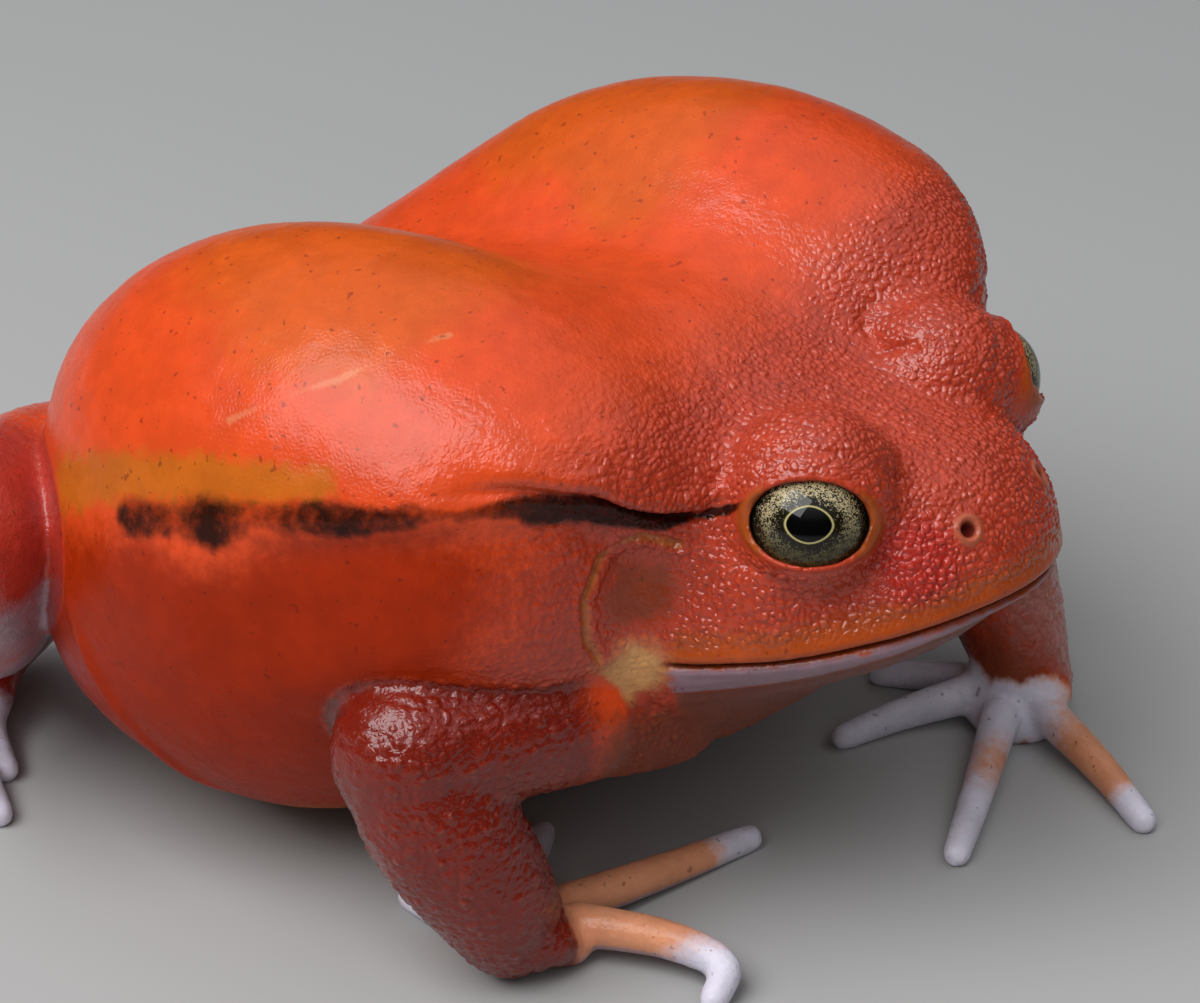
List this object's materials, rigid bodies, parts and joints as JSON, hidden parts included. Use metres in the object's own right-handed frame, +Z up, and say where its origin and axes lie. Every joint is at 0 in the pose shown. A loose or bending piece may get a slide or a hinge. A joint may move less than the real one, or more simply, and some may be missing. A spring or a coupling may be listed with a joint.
{
  "type": "tomato frog",
  "caption": "Tomato frog, life size, puffed up and sitting with its belly and four feet on the floor; a still model of a live animal.",
  "frame": {"origin": "on the floor, below the middle of the frog's bounding box", "axes": "-Y where the frog faces, +X to its left, +Z up"},
  "size_m": [0.1012, 0.0994, 0.0553],
  "materials": {
    "back_skin": "moist smooth scarlet-orange skin",
    "head_skin": "moist finely granular red skin",
    "limb_skin": "moist granular deep red skin",
    "digit_skin": "moist orange skin fading to pale lavender tips",
    "eye": "wet, clear cornea over a gold-speckled iris"
  },
  "bodies": {
    "root": {"head": "head_skin", "torso": "back_skin", "left_upper_arm": "limb_skin", "right_upper_arm": "limb_skin", "left_forearm": "limb_skin", "right_forearm": "limb_skin", "left_hand": "digit_skin", "right_hand": "digit_skin", "left_thigh": "limb_skin", "right_thigh": "limb_skin", "left_shank": "limb_skin", "right_shank": "limb_skin", "left_foot": "digit_skin", "right_foot": "digit_skin", "left_eye": "eye", "right_eye": "eye"}
  },
  "joints": []
}
